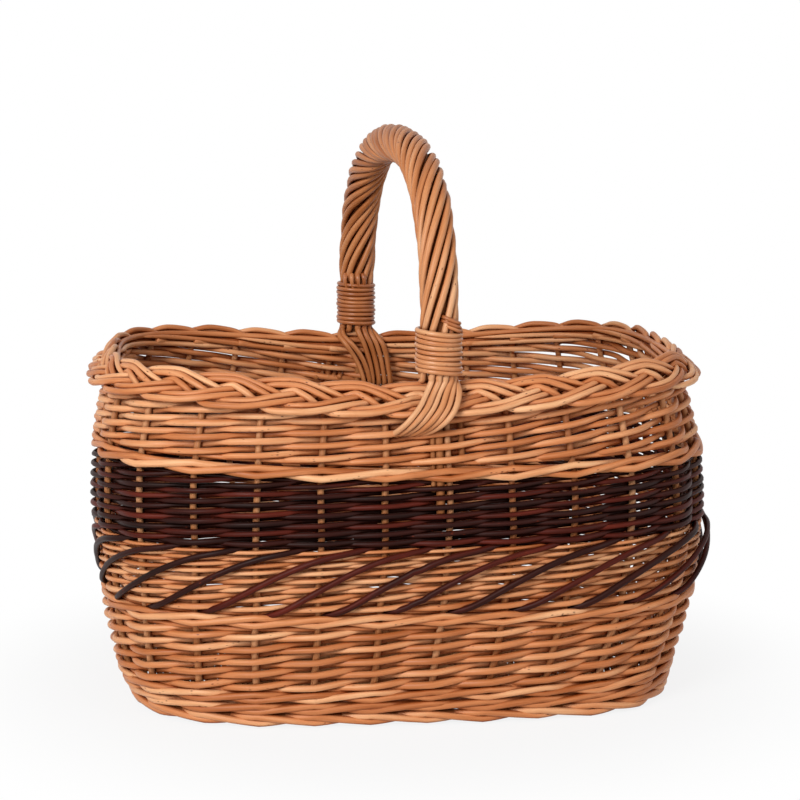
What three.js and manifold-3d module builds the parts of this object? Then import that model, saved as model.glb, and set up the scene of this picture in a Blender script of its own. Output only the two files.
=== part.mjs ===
import * as THREE from 'three';
import { mergeVertices } from 'three/addons/utils/BufferGeometryUtils.js';
import Module from 'manifold-3d';

// Oblong willow basket with a fixed bow handle across its short axis.
// Lengths are in millimetres, +Z is up, X runs along the basket and -Y is its front.

// Sizes of the wall, measured over its outer face.
const bellyHalfLength = 210;
const footDrawIn = 21;
const rimDrawIn = 10;
const lengthOverWidth = 58;
const bellyHeight = 135;
const rimHeight = 205;
const rimRise = 11;

// Upright stakes.
const stakeCount = 31;
const stakeRadius = 2.1;
const stakeAboveRim = 6;
const socketFloor = 2.6;

// Woven bands.
const footRingHeight = 8;
const weaverThickness = 3;
const waleThickness = 4.6;
const leastWeaverHeight = 3;
const footChamfer = 2.5;

// Slanting rods below the dark band.
const slantRadius = 2.2;
const slantDrop = 40;

// Border, a flat plait that leans out over the rim.
const borderHalfWidth = 13.5;
const borderHalfThickness = 5;
const borderOut = 4.5;
const borderAboveRim = 10.5;

// Base inside the foot.
const baseUnderside = 1;
const baseWeaverThickness = 3.2;
const baseWeaveLift = 1.4;
const baseStickRadius = 2.6;
const baseStickMargin = 12;
const longStickGap = 34;

// Handle: a bow that stands in the wall, eight rods wound round it, and a binding on each leg.
const archRise = 122.5;
const legLength = 19;
const legOut = 1.7;
const bowRadius = 6;
const bowEndRadius = 3;
const bowDepth = 65;
const rodRadius = 2.7;
const rodOrbit = 9.6;
const bindingAboveBorder = 6;
const bindingRadius = 1.4;
const bindingPitch = 3.3;
const rodSpacing = 6.4;
const rodLean = 18;

// One clearance keeps neighbouring pieces apart.
const clearance = 0.4;

// Shapes that carry no length.
const planPower = 3.4;
const lowerPower = 1.7;
const upperPower = 2;
const risePower = 4;
const archPower = 2.5;
const stakeSpreadShare = 0.25;
const borderTilt = Math.PI / 4;
const rodCount = 8;
const rodTwist = 7 * Math.PI;
const twistEase = 0.4;
const nearTurns = 8;
const farTurns = 10;

// What follows from the sizes.
const wallHalf = stakeRadius + clearance + weaverThickness;
const stakeTop = rimHeight + stakeAboveRim;
const borderTop = rimHeight + borderAboveRim + borderHalfWidth * Math.sin(borderTilt);
const bindingFoot = borderTop + bindingAboveBorder;
const springHeight = bindingFoot + legLength;
const handleTop = springHeight + archRise;
const bowFoot = rimHeight - bowDepth;

// Woven bands from the foot up: each one's upper edge as a share of the rim's height.
const laps = [
  { name: 'upsett_wale', topShare: 0.127, turns: 2, thickness: waleThickness },
  { name: 'lower_siding', topShare: 0.337, turns: 4, thickness: weaverThickness },
  { name: 'middle_wale', topShare: 0.385, turns: 1, thickness: waleThickness },
  { name: 'fine_siding', topShare: 0.595, turns: 4, thickness: weaverThickness },
  { name: 'dark_siding', topShare: 0.795, turns: 4, thickness: weaverThickness },
  { name: 'upper_wale', topShare: 0.854, turns: 1, thickness: waleThickness },
  { name: 'upper_siding', topShare: 1.005, turns: 3, thickness: weaverThickness },
];

// Colours of the peeled and the unpeeled willow.
const buff = new THREE.MeshStandardMaterial({ color: '#b8763f', roughness: 0.55, metalness: 0 });
const pale = new THREE.MeshStandardMaterial({ color: '#c98d55', roughness: 0.5, metalness: 0 });
const dark = new THREE.MeshStandardMaterial({ color: '#3b2018', roughness: 0.5, metalness: 0 });
const shade = new THREE.MeshStandardMaterial({ color: '#8f5a30', roughness: 0.65, metalness: 0 });

const basket = new THREE.Group();

function addPiece(name, geometry, material) {
  const mesh = new THREE.Mesh(geometry, material);
  mesh.name = name;
  basket.add(mesh);
}

// A skin over equal rings of points, closed on itself or capped at both ends.
function loft(rings, closed) {
  const sides = rings[0].length;
  const last = closed ? rings.length : rings.length - 1;
  const faces = [];
  for (let ring = 0; ring < last; ring += 1) {
    const next = (ring + 1) % rings.length;
    for (let side = 0; side < sides; side += 1) {
      const after = (side + 1) % sides;
      const corners = [ring * sides + side, ring * sides + after, next * sides + after, next * sides + side];
      faces.push([corners[0], corners[1], corners[2]], [corners[0], corners[2], corners[3]]);
    }
  }
  if (!closed) {
    const end = (rings.length - 1) * sides;
    for (let side = 1; side < sides - 1; side += 1) {
      faces.push([0, side + 1, side], [end, end + side, end + side + 1]);
    }
  }
  const points = rings.flat();
  let volume = 0;
  for (const [a, b, c] of faces) {
    volume += points[a].dot(new THREE.Vector3().crossVectors(points[b], points[c]));
  }
  const geometry = new THREE.BufferGeometry().setFromPoints(points);
  geometry.setIndex(faces.map((face) => (volume < 0 ? [...face].reverse() : face)).flat());
  return geometry;
}

const wasm = await Module();
wasm.setup();

function toSolid(geometry) {
  const bare = new THREE.BufferGeometry();
  bare.setAttribute('position', geometry.getAttribute('position'));
  bare.setIndex(geometry.getIndex());
  const merged = mergeVertices(bare);
  const vertProperties = new Float32Array(merged.getAttribute('position').array);
  const triVerts = new Uint32Array(merged.getIndex().array);
  return new wasm.Manifold(new wasm.Mesh({ numProp: 3, vertProperties, triVerts }));
}

function fromSolid(solid) {
  const mesh = solid.getMesh();
  const geometry = new THREE.BufferGeometry();
  geometry.setAttribute('position', new THREE.BufferAttribute(new Float32Array(mesh.vertProperties), 3));
  geometry.setIndex(new THREE.BufferAttribute(new Uint32Array(mesh.triVerts), 1));
  return geometry;
}

// Half length of the wall's outer face at a height: narrow foot, full belly, drawn-in rim.
function outerHalfLength(height) {
  if (height < bellyHeight) {
    const below = (bellyHeight - height) / bellyHeight;
    return bellyHalfLength - footDrawIn * below ** lowerPower;
  }
  const above = (height - bellyHeight) / (rimHeight - bellyHeight);
  return bellyHalfLength - rimDrawIn * above ** upperPower;
}

// A point of the wall: an angle round the plan, a height, and a distance out from the stakes' line.
// The rim end of the wall rises towards the basket's two short ends.
function wallAtAngle(angle, height, out) {
  const halfLength = outerHalfLength(height) - wallHalf;
  const halfWidth = halfLength - lengthOverWidth;
  const across = Math.sign(Math.cos(angle)) * Math.abs(Math.cos(angle)) ** (2 / planPower);
  const along = Math.sign(Math.sin(angle)) * Math.abs(Math.sin(angle)) ** (2 / planPower);
  const normal = new THREE.Vector3(
    (Math.sign(across) * Math.abs(across) ** (planPower - 1)) / halfLength,
    (Math.sign(along) * Math.abs(along) ** (planPower - 1)) / halfWidth,
    0,
  ).normalize();
  const rise = rimRise * (1 - (1 - across ** 2) ** 2) * (height / rimHeight) ** risePower;
  return new THREE.Vector3(halfLength * across, halfWidth * along, height + rise).addScaledVector(normal, out);
}

// Equal steps round the belly, from the middle of the front towards +X.
const planSamples = 2400;
const planAngles = [];
const planLengths = [];
for (let sample = 0; sample <= planSamples; sample += 1) {
  planAngles.push((2 * Math.PI * sample) / planSamples - Math.PI / 2);
  const point = wallAtAngle(planAngles[sample], bellyHeight, 0);
  const before = sample ? wallAtAngle(planAngles[sample - 1], bellyHeight, 0) : point;
  planLengths.push((planLengths[sample - 1] ?? 0) + point.distanceTo(before));
}
const girth = planLengths[planSamples];
const stakeSpacing = girth / stakeCount;

// The stakes stand a little further apart in the front than in the back.
function angleAtShare(share) {
  const spread = share + (stakeSpreadShare * Math.sin(2 * Math.PI * share)) / stakeCount;
  const whole = Math.floor(spread);
  const target = (spread - whole) * girth;
  let low = 0;
  let high = planSamples;
  while (high - low > 1) {
    const middle = (low + high) >> 1;
    if (planLengths[middle] > target) high = middle;
    else low = middle;
  }
  const part = (target - planLengths[low]) / (planLengths[high] - planLengths[low]);
  return planAngles[low] + part * (planAngles[high] - planAngles[low]);
}

// A point of the wall at a stake's number, which may be a fraction between two stakes.
function wallPoint(stake, height, out) {
  return wallAtAngle(angleAtShare((stake + 0.5) / stakeCount), height, out);
}

// A ring of points round a centre, in the plane of two directions.
function circle(centre, first, second, radius, sides) {
  const points = [];
  for (let side = 0; side < sides; side += 1) {
    const turn = (2 * Math.PI * side) / sides;
    const point = centre.clone().addScaledVector(first, radius * Math.cos(turn));
    points.push(point.addScaledVector(second, radius * Math.sin(turn)));
  }
  return points;
}

// A round rod along a run of points, its sections square to the run.
function rod(path, radii, sides, firstHint) {
  const rings = path.map((point, index) => {
    const ahead = path[Math.min(index + 1, path.length - 1)];
    const behind = path[Math.max(index - 1, 0)];
    const direction = ahead.clone().sub(behind).normalize();
    const hint = Array.isArray(firstHint) ? firstHint[index] : firstHint;
    const first = hint.clone().addScaledVector(direction, -hint.dot(direction)).normalize();
    const second = new THREE.Vector3().crossVectors(direction, first);
    const radius = Array.isArray(radii) ? radii[index] : radii;
    return circle(point, first, second, radius, sides);
  });
  return loft(rings, false);
}

const up = new THREE.Vector3(0, 0, 1);
const alongX = new THREE.Vector3(1, 0, 0);
const alongY = new THREE.Vector3(0, 1, 0);

// Stakes, level sections stacked along the wall's own curve.
const stakeSides = 5;
const stakeHeightShares = [0, 0.17, 0.33, 0.466, 0.572, 0.678, 0.784, 0.889, 1];
function stakeGeometry(stake, bottom, radius) {
  const rings = stakeHeightShares.map((share) => {
    const height = bottom + (stakeTop - bottom) * share;
    return circle(wallPoint(stake, height, 0), alongX, alongY, radius, stakeSides);
  });
  return loft(rings, false);
}
const stakeBottom = socketFloor + clearance;
for (let stake = 0; stake < stakeCount; stake += 1) {
  const number = String(stake + 1).padStart(2, '0');
  addPiece(`stake_${number}`, stakeGeometry(stake, stakeBottom, stakeRadius), pale);
}

// Foot ring, with a blind socket under every stake.
const footSection = [
  [-wallHalf, 0],
  [wallHalf - footChamfer, 0],
  [wallHalf, footChamfer],
  [wallHalf, footRingHeight],
  [-wallHalf, footRingHeight],
];
const ringSteps = 2 * stakeCount;
const footRings = [];
for (let step = 0; step < ringSteps; step += 1) {
  footRings.push(footSection.map(([out, height]) => {
    const point = wallPoint(step / 2, height, out);
    return point.setZ(height);
  }));
}
let foot = toSolid(loft(footRings, true));
for (let stake = 0; stake < stakeCount; stake += 1) {
  foot = foot.subtract(toSolid(stakeGeometry(stake, socketFloor, stakeRadius + clearance)));
}
addPiece('foot_ring', fromSolid(foot), buff);

// The bow's legs stand in the wall beside a stake, one at the front and one opposite.
const legGap = stakeRadius + clearance + bowEndRadius;
const nearLegStake = -legGap / stakeSpacing;
const farLegStake = nearLegStake + stakeCount / 2;
const posts = [{ stake: nearLegStake, group: 0, radius: bowEndRadius, bow: true }];
for (let stake = 0; stake < stakeCount; stake += 1) {
  posts.push({ stake, group: stake, radius: stakeRadius, bow: false });
}
posts.push({ stake: farLegStake, group: Math.floor(farLegStake), radius: bowEndRadius, bow: true });
posts.sort((a, b) => a.stake - b.stake);

// One weaver climbs the wall as a single spiral, in front of one stake and behind the next.
// This is the height of its lower edge after a number of turns.
const lapStarts = [0];
const lapHeights = [footRingHeight + clearance];
for (const lap of laps) {
  lapStarts.push(lapStarts[lapStarts.length - 1] + lap.turns);
  lapHeights.push(rimHeight * lap.topShare);
}
function edgeHeight(turn) {
  const clamped = Math.min(Math.max(turn, 0), lapStarts[lapStarts.length - 1]);
  let lap = 0;
  while (lap < laps.length - 1 && clamped > lapStarts[lap + 1]) lap += 1;
  const part = (clamped - lapStarts[lap]) / laps[lap].turns;
  return lapHeights[lap] + (lapHeights[lap + 1] - lapHeights[lap]) * part;
}

// The woven length between two turns, its corners set at each post that it passes.
// The height of the weaver is the space between its own edge and the edge one turn above.
function weaver(fromTurn, toTurn, thickness) {
  const stops = [];
  for (let turn = Math.floor(fromTurn) - 1; turn <= Math.ceil(toTurn); turn += 1) {
    for (const post of posts) {
      const place = turn + (post.stake + 0.5) / stakeCount;
      const inBow = !post.bow || edgeHeight(place + 1) > bowFoot - clearance;
      const side = (post.group + stakeCount * (turn + laps.length)) % 2 ? -1 : 1;
      const out = side * (post.radius + clearance + thickness / 2);
      if (inBow) stops.push({ place, out });
    }
  }
  const inside = stops.filter((stop) => stop.place > fromTurn && stop.place < toTurn);
  const places = [fromTurn, ...inside.map((stop) => stop.place), toTurn];
  return loft(places.map((place) => {
    const next = stops.findIndex((stop) => stop.place >= place);
    const behind = stops[next - 1];
    const ahead = stops[next];
    const part = (place - behind.place) / (ahead.place - behind.place);
    const out = behind.out + (ahead.out - behind.out) * part;
    const angle = angleAtShare(place);
    const low = edgeHeight(place) + clearance / 2;
    const high = edgeHeight(place + 1) - clearance / 2;
    return [
      wallAtAngle(angle, low, out - thickness / 2),
      wallAtAngle(angle, low, out + thickness / 2),
      wallAtAngle(angle, high, out + thickness / 2),
      wallAtAngle(angle, high, out - thickness / 2),
    ];
  }), false);
}

// Slanting rods, each from beside a stake up to the dark band, where it joins the weave.
const slantStakeShares = [0.15, 1, 2, 2.25, 2.5];
const slantHeightShares = [0, 0.46, 0.86, 1, 1];
const slantSides = 4;
const darkStart = lapStarts[laps.findIndex((lap) => lap.name === 'dark_siding')];
function slantGeometry(stake) {
  const out = wallHalf + clearance + slantRadius;
  const end = (stake + slantStakeShares[slantStakeShares.length - 1] + 0.5) / stakeCount;
  const bandEdge = edgeHeight(darkStart + end - Math.round(end));
  const top = bandEdge + clearance + slantRadius + clearance;
  const path = slantStakeShares.map((share, index) => {
    const height = top - slantDrop * (1 - slantHeightShares[index]);
    const last = index === slantStakeShares.length - 1;
    return wallPoint(stake + share, height, last ? 0 : out);
  });
  return rod(path, slantRadius, slantSides, up);
}

// The bands follow one another up the spiral, with a small cut between them.
const endGap = clearance / girth;
for (let lap = 0; lap < laps.length; lap += 1) {
  const firstPitch = edgeHeight(1) - edgeHeight(0);
  const lastTurn = lapStarts[laps.length];
  const lastPitch = edgeHeight(lastTurn) - edgeHeight(lastTurn - 1);
  const lead = (leastWeaverHeight + clearance) / firstPitch;
  const tail = (leastWeaverHeight + clearance) / lastPitch;
  const from = lap === 0 ? lead - 1 : lapStarts[lap] - 0.5 + endGap;
  const to = lap === laps.length - 1 ? lapStarts[lap + 1] - tail : lapStarts[lap + 1] - 0.5 - endGap;
  let geometry = weaver(from, to, laps[lap].thickness);
  if (laps[lap].name === 'dark_siding') {
    let solid = toSolid(geometry);
    for (let stake = 0; stake < stakeCount; stake += 1) solid = solid.add(toSolid(slantGeometry(stake)));
    geometry = fromSolid(solid);
  }
  addPiece(laps[lap].name, geometry, laps[lap].name === 'dark_siding' ? dark : buff);
}

// The bow: both ends follow the wall, the rest is a round-shouldered arch in one upright plane.
const nearRim = wallPoint(nearLegStake, rimHeight, 0);
const outNear = new THREE.Vector3(nearRim.x, nearRim.y, 0).normalize();
const handleHalfSpan = Math.hypot(nearRim.x, nearRim.y) + legOut;
const sideNear = new THREE.Vector3().crossVectors(up, outNear);
function archPoint(turn) {
  const cosine = Math.cos(turn);
  const sine = Math.sin(turn);
  const out = Math.sign(cosine) * Math.abs(cosine) ** (2 / archPower) * handleHalfSpan;
  const height = springHeight + Math.abs(sine) ** (2 / archPower) * (handleTop - springHeight);
  return outNear.clone().multiplyScalar(out).setZ(height);
}

// Centre line of the arch as a list of points with their distance along it.
const archSamples = 600;
const archLine = [];
for (let sample = 0; sample <= archSamples; sample += 1) {
  archLine.push(archPoint((Math.PI * sample) / archSamples));
}
const nearFoot = outNear.clone().multiplyScalar(handleHalfSpan).setZ(bindingFoot - clearance);
const farFoot = outNear.clone().multiplyScalar(-handleHalfSpan).setZ(bindingFoot - clearance);
const handleLine = [nearFoot, ...archLine, farFoot];
const handleLengths = [0];
for (let index = 1; index < handleLine.length; index += 1) {
  handleLengths.push(handleLengths[index - 1] + handleLine[index].distanceTo(handleLine[index - 1]));
}
const handleLength = handleLengths[handleLengths.length - 1];
function handleFrame(share) {
  const target = share * handleLength;
  let index = handleLengths.findIndex((length) => length > target);
  if (index < 0) index = handleLine.length - 1;
  index = Math.max(index, 1);
  const start = handleLine[index - 1];
  const end = handleLine[index];
  const part = (target - handleLengths[index - 1]) / (handleLengths[index] - handleLengths[index - 1]);
  const from = handleLine[Math.max(index - 5, 0)];
  const to = handleLine[Math.min(index + 4, handleLine.length - 1)];
  const direction = to.clone().sub(from).normalize();
  const outward = new THREE.Vector3().crossVectors(sideNear, direction).normalize();
  return { centre: start.clone().lerp(end, part), direction, outward };
}

// Points of the bow, from its end in the front wall to its end in the back wall.
const bowSides = 8;
const wallHeightShares = [0, 0.35, 0.7, 1];
const neckHeight = borderTop + borderHalfThickness / 2;
function bowLeg(legStake, extra) {
  const path = [];
  const radii = [];
  for (const share of wallHeightShares) {
    path.push(wallPoint(legStake, bowFoot + (rimHeight - bowFoot) * share, 0));
    radii.push(bowEndRadius + extra);
  }
  const out = path[path.length - 1].clone().setZ(0).normalize();
  path.push(out.clone().multiplyScalar(handleHalfSpan).setZ(neckHeight));
  radii.push(bowEndRadius + extra);
  return { path, radii };
}
const bowArchShares = [0.006, 0.05, 0.1, 0.15, 0.2, 0.25, 0.3, 0.35, 0.4, 0.45, 0.5];
const bowShares = [...bowArchShares, ...bowArchShares.slice(0, -1).reverse().map((share) => 1 - share)];
const nearLeg = bowLeg(nearLegStake, 0);
const farLeg = bowLeg(farLegStake, 0);
const bowPath = [
  ...nearLeg.path,
  ...bowShares.map((share) => handleFrame(share).centre),
  ...farLeg.path.reverse(),
];
const bowRadii = [...nearLeg.radii, ...bowShares.map(() => bowRadius), ...farLeg.radii];
addPiece('handle_bow', rod(bowPath, bowRadii, bowSides, sideNear), shade);

// Border: a flat plait, its outer edge hanging lower than its inner edge. From the outer edge
// over the top and back underneath, each side of its section swells once between two stakes.
const borderSides = 8;
const borderStepsPerStake = 3;
const borderReachShares = [0.82, 0.9, 0.7, 1, 0.8, 0.75, 0.6, 0.7];
const borderPeakShares = [0.33, 0.77, 0.5, 0.55, 0.15, 0.85, 0.6, 0];
const borderSwellShare = 0.18;
const borderRings = [];
for (let step = 0; step < borderStepsPerStake * stakeCount; step += 1) {
  const stake = step / borderStepsPerStake;
  borderRings.push(borderPeakShares.map((peak, side) => {
    const turn = (2 * Math.PI * side) / borderSides;
    const reach = borderReachShares[side] + borderSwellShare * Math.cos(2 * Math.PI * (stake - peak));
    const wide = borderHalfWidth * reach * Math.cos(turn);
    const thick = borderHalfThickness * reach * Math.sin(turn);
    const out = borderOut + wide * Math.cos(borderTilt) + thick * Math.sin(borderTilt);
    const lift = borderAboveRim - wide * Math.sin(borderTilt) + thick * Math.cos(borderTilt);
    const point = wallPoint(stake, rimHeight, out);
    return point.setZ(point.z + lift);
  }));
}
let border = toSolid(loft(borderRings, true));
for (const legStake of [nearLegStake, farLegStake]) {
  const leg = bowLeg(legStake, clearance);
  border = border.subtract(toSolid(rod(leg.path.slice(-2), leg.radii.slice(-2), bowSides, sideNear)));
}
addPiece('border', fromSolid(border), buff);

// Rods wound round the bow; each ends outside the border on one leg or inside it on the other.
const rodSides = 5;
const rodSteps = 30;
const footDropShares = [0.1, 0.32, 0.52, 0.74, 1];
const outerFootOut = [
  borderHalfThickness + rodRadius,
  borderHalfWidth - borderHalfThickness / 2 + clearance,
  borderHalfWidth + rodRadius - clearance,
  borderHalfWidth + rodRadius,
  borderHalfWidth - clearance,
];
const innerFootOut = [
  -borderHalfWidth + clearance,
  -borderHalfWidth - clearance,
  -borderHalfWidth,
  -borderHalfWidth + clearance,
  -rodOrbit,
];
const footDrop = bindingFoot - rimHeight + borderHalfWidth;
function rodFoot(slotAngle, end) {
  const outDirection = outNear.clone().multiplyScalar(end);
  const sideDirection = sideNear.clone().multiplyScalar(end);
  const outer = Math.cos(slotAngle) > 0;
  const table = outer ? outerFootOut : innerFootOut;
  const fan = Math.sin(slotAngle) * Math.abs(Math.sin(slotAngle));
  const slotSide = Math.sign(fan) * (Math.abs(fan) > 0.5 ? 1.5 : 0.5) * rodSpacing;
  return footDropShares.map((share, index) => {
    const reach = Math.max(Math.abs(table[index]), Math.abs(rodOrbit * Math.cos(slotAngle)));
    const out = handleHalfSpan + Math.sign(table[index]) * reach;
    const point = outDirection.clone().multiplyScalar(out);
    point.addScaledVector(sideDirection, slotSide - rodLean * share);
    return point.setZ(bindingFoot - clearance - footDrop * share);
  });
}
const rodPlaces = [];
for (let step = 0; step <= rodSteps; step += 1) {
  let low = 0;
  let high = 1;
  for (let halving = 0; halving < 40; halving += 1) {
    const middle = (low + high) / 2;
    const twist = middle - (twistEase * Math.sin(2 * Math.PI * middle)) / (2 * Math.PI);
    if ((middle + twist) / 2 > step / rodSteps) high = middle;
    else low = middle;
  }
  rodPlaces.push(low);
}
for (let slot = 0; slot < rodCount; slot += 1) {
  const slotAngle = ((slot + 0.5) * 2 * Math.PI) / rodCount;
  const path = [];
  const hints = [];
  for (const place of rodPlaces) {
    const frame = handleFrame(place);
    const twist = place - (twistEase * Math.sin(2 * Math.PI * place)) / (2 * Math.PI);
    const angle = slotAngle + rodTwist * twist;
    const spoke = frame.outward.clone().multiplyScalar(Math.cos(angle));
    spoke.addScaledVector(sideNear, Math.sin(angle));
    path.push(frame.centre.clone().addScaledVector(spoke, rodOrbit));
    hints.push(spoke);
  }
  const nearEnd = rodFoot(slotAngle, 1);
  const farEnd = rodFoot(-(slotAngle + rodTwist), -1);
  const whole = [...nearEnd.reverse(), ...path, ...farEnd];
  const allHints = [...nearEnd.map(() => hints[0]), ...hints, ...farEnd.map(() => hints[hints.length - 1])];
  addPiece(`handle_rod_${slot + 1}`, rod(whole, rodRadius, rodSides, allHints), buff);
}

// Bindings: each one unbroken thin rod wound round a leg, its ends straight for one diameter.
const bindingSides = 5;
const bindingSteps = 12;
const bindingOrbit = rodOrbit + rodRadius + clearance + bindingRadius + clearance;
function bindingGeometry(name, end, turns) {
  const axis = outNear.clone().multiplyScalar(end * handleHalfSpan);
  const bottom = bindingFoot + bindingRadius;
  const path = [];
  const hints = [];
  for (let step = 0; step <= turns * bindingSteps; step += 1) {
    const turn = (2 * Math.PI * step) / bindingSteps;
    const spoke = outNear.clone().multiplyScalar(Math.cos(turn)).addScaledVector(sideNear, Math.sin(turn));
    const point = axis.clone().addScaledVector(spoke, bindingOrbit);
    path.push(point.setZ(bottom + (bindingPitch * step) / bindingSteps));
    hints.push(spoke);
  }
  const lead = path[0].clone().sub(path[1]).setZ(0).setLength(2 * bindingRadius);
  const tail = path[path.length - 1].clone().sub(path[path.length - 2]).setZ(0).setLength(2 * bindingRadius);
  path.unshift(path[0].clone().add(lead));
  path.push(path[path.length - 1].clone().add(tail));
  hints.unshift(hints[0]);
  hints.push(hints[hints.length - 1]);
  let least = Infinity;
  for (let one = 0; one < path.length; one += 1) {
    for (let two = one + bindingSteps / 2; two < path.length; two += 1) {
      least = Math.min(least, path[one].distanceTo(path[two]) - 2 * bindingRadius);
    }
  }
  console.log(`${name}: least gap between turns ${least.toFixed(2)} mm`);
  return rod(path, bindingRadius, bindingSides, hints);
}
addPiece('near_binding', bindingGeometry('near_binding', 1, nearTurns), pale);
addPiece('far_binding', bindingGeometry('far_binding', -1, farTurns), pale);

// Base: a woven sheet inside the foot ring, and the sticks that lie on it. Each row of the
// weave passes over one spoke and under the next, and the next row does the opposite. Row 0
// closes the middle and is flat.
const sheetSpokes = 32;
const sheetRows = 8;
const sheetHalf = -wallHalf - 3 * clearance;
const sheetMiddle = baseUnderside + baseWeaverThickness / 2 + baseWeaveLift;
const sheetTop = sheetMiddle + baseWeaverThickness / 2 + baseWeaveLift;
function sheetRing(row, face) {
  const ring = [];
  for (let spoke = 0; spoke < sheetSpokes; spoke += 1) {
    const lift = (row + spoke) % 2 ? baseWeaveLift : -baseWeaveLift;
    const height = sheetMiddle + (row ? lift : 0) + (face * baseWeaverThickness) / 2;
    const edge = wallAtAngle(angleAtShare(spoke / sheetSpokes), height, sheetHalf);
    const share = (row + 0.5) / (sheetRows - 0.5);
    ring.push(new THREE.Vector3(edge.x * share, edge.y * share, height));
  }
  return ring;
}
const lowerRings = [];
const upperRings = [];
for (let row = 0; row < sheetRows; row += 1) {
  lowerRings.push(sheetRing(row, -1));
  upperRings.unshift(sheetRing(row, 1));
}
addPiece('base_weave', loft([...lowerRings, ...upperRings], false), shade);

const stickHeight = sheetTop + clearance + baseStickRadius;
const stickReachX = outerHalfLength(0) - 2 * wallHalf - baseStickMargin;
const stickReachY = stickReachX - lengthOverWidth;
const stickSides = 4;
const crossStickShares = [-0.78, -0.52, -0.26, 0, 0.26, 0.52, 0.78];
let sticks = null;
for (const row of [-1, 0, 1]) {
  const y = row * longStickGap;
  const ends = [new THREE.Vector3(-stickReachX, y, stickHeight), new THREE.Vector3(stickReachX, y, stickHeight)];
  const stick = toSolid(rod(ends, baseStickRadius, stickSides, up));
  sticks = sticks ? sticks.add(stick) : stick;
}
for (const share of crossStickShares) {
  const x = share * stickReachX;
  const reach = stickReachY * (1 - Math.abs(share) ** planPower) ** (1 / planPower);
  const ends = [new THREE.Vector3(x, -reach, stickHeight), new THREE.Vector3(x, reach, stickHeight)];
  sticks = sticks.add(toSolid(rod(ends, baseStickRadius, stickSides, up)));
}
addPiece('base_sticks', fromSolid(sticks), shade);

export default basket;
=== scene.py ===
"""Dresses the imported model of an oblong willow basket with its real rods.

The basket is peeled and buffed willow with one band of unpeeled rods. Lengths are in metres,
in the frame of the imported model: Z up, X along the basket, -Y its front.
"""

import bpy
import numpy as np
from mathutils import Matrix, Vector


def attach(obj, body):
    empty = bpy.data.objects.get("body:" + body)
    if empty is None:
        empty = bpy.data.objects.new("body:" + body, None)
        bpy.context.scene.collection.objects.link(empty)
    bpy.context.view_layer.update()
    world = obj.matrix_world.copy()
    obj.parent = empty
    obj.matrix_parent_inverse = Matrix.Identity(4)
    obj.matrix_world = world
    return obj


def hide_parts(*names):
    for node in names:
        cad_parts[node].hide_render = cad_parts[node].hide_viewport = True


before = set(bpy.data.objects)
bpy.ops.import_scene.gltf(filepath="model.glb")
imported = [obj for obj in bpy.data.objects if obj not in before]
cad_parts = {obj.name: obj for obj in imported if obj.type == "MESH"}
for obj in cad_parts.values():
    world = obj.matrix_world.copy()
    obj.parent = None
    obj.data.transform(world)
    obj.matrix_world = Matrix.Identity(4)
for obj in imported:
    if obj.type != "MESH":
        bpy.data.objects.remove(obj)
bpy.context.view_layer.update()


# The base weave. Thin spokes run out from the middle to the foot, and slews of five rods side by
# side are woven round them, over one and under the next. It is buffed willow, duller than the
# wall, and its rods are thicker towards the long ends, where the rounds lie further apart.

belly_half_length = 0.210
foot_draw_in = 0.021
rim_draw_in = 0.010
length_over_width = 0.058
belly_height = 0.135
rim_height = 0.205
rim_rise = 0.011
wall_half = 0.0055
stake_count = 31
plan_power = 3.4
lower_power = 1.7
upper_power = 2
rise_power = 4
stake_spread_share = 0.25
lean_foot_height = 0.028
lean_share = 0.21
lean_power = 1.4

# The wall's shape runs on a little past its rim and its foot, by these shares.
above_rim_share = 1.3
rise_above_rim_share = 1.2
lean_below_foot_share = 1.25

# All that is uneven in the maker's work is drawn from here.
hand = np.random.default_rng(31)
phase_span = 6

# The wall isn't quite even: it is drawn in at the right end, its foot is tucked under at the
# left end and full at the front right corner, and the rounds sink a little to the right.
right_pull_heights = [0.0, 0.030, 0.050, 0.078, 0.160, 0.205]
right_pulls = [0.0038, 0.0034, 0.0020, 0.0, 0.0, 0.0045]
left_pull_heights = [0.060, 0.078, 0.095, 0.115, 0.135]
left_pulls = [0.0, 0.0014, 0.0018, 0.0014, 0.0]
foot_tuck = 0.0075
foot_tuck_height = 0.026
foot_tuck_power = 1.5
corner_push = 0.0050
corner_across = 0.76
corner_width = 0.11
corner_height = 0.034
drop_heights = [0.0, 0.069, 0.122, 0.163, 0.205]
drops = [0.0, 0.0009, 0.0006, 0.0033, 0.0]


def signed_power(value, power):
    """A power of a value's size, with the value's own sign."""
    return np.sign(value) * np.abs(value) ** power


def unit(vectors):
    """Vectors brought to a length of one."""
    return vectors / np.linalg.norm(vectors, axis=-1, keepdims=True)


def lengths_along(points):
    """How far along a line each of its points lies."""
    return np.concatenate([[0], np.cumsum(np.linalg.norm(np.diff(points, axis=0), axis=1))])


def outer_half_length(height):
    """Half length of the wall's outer face: narrow foot, full belly, drawn-in rim."""
    below = np.clip((belly_height - height) / belly_height, 0, 1)
    above = np.clip((height - belly_height) / (rim_height - belly_height), 0, above_rim_share)
    return belly_half_length - foot_draw_in * below**lower_power - rim_draw_in * above**upper_power


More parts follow.
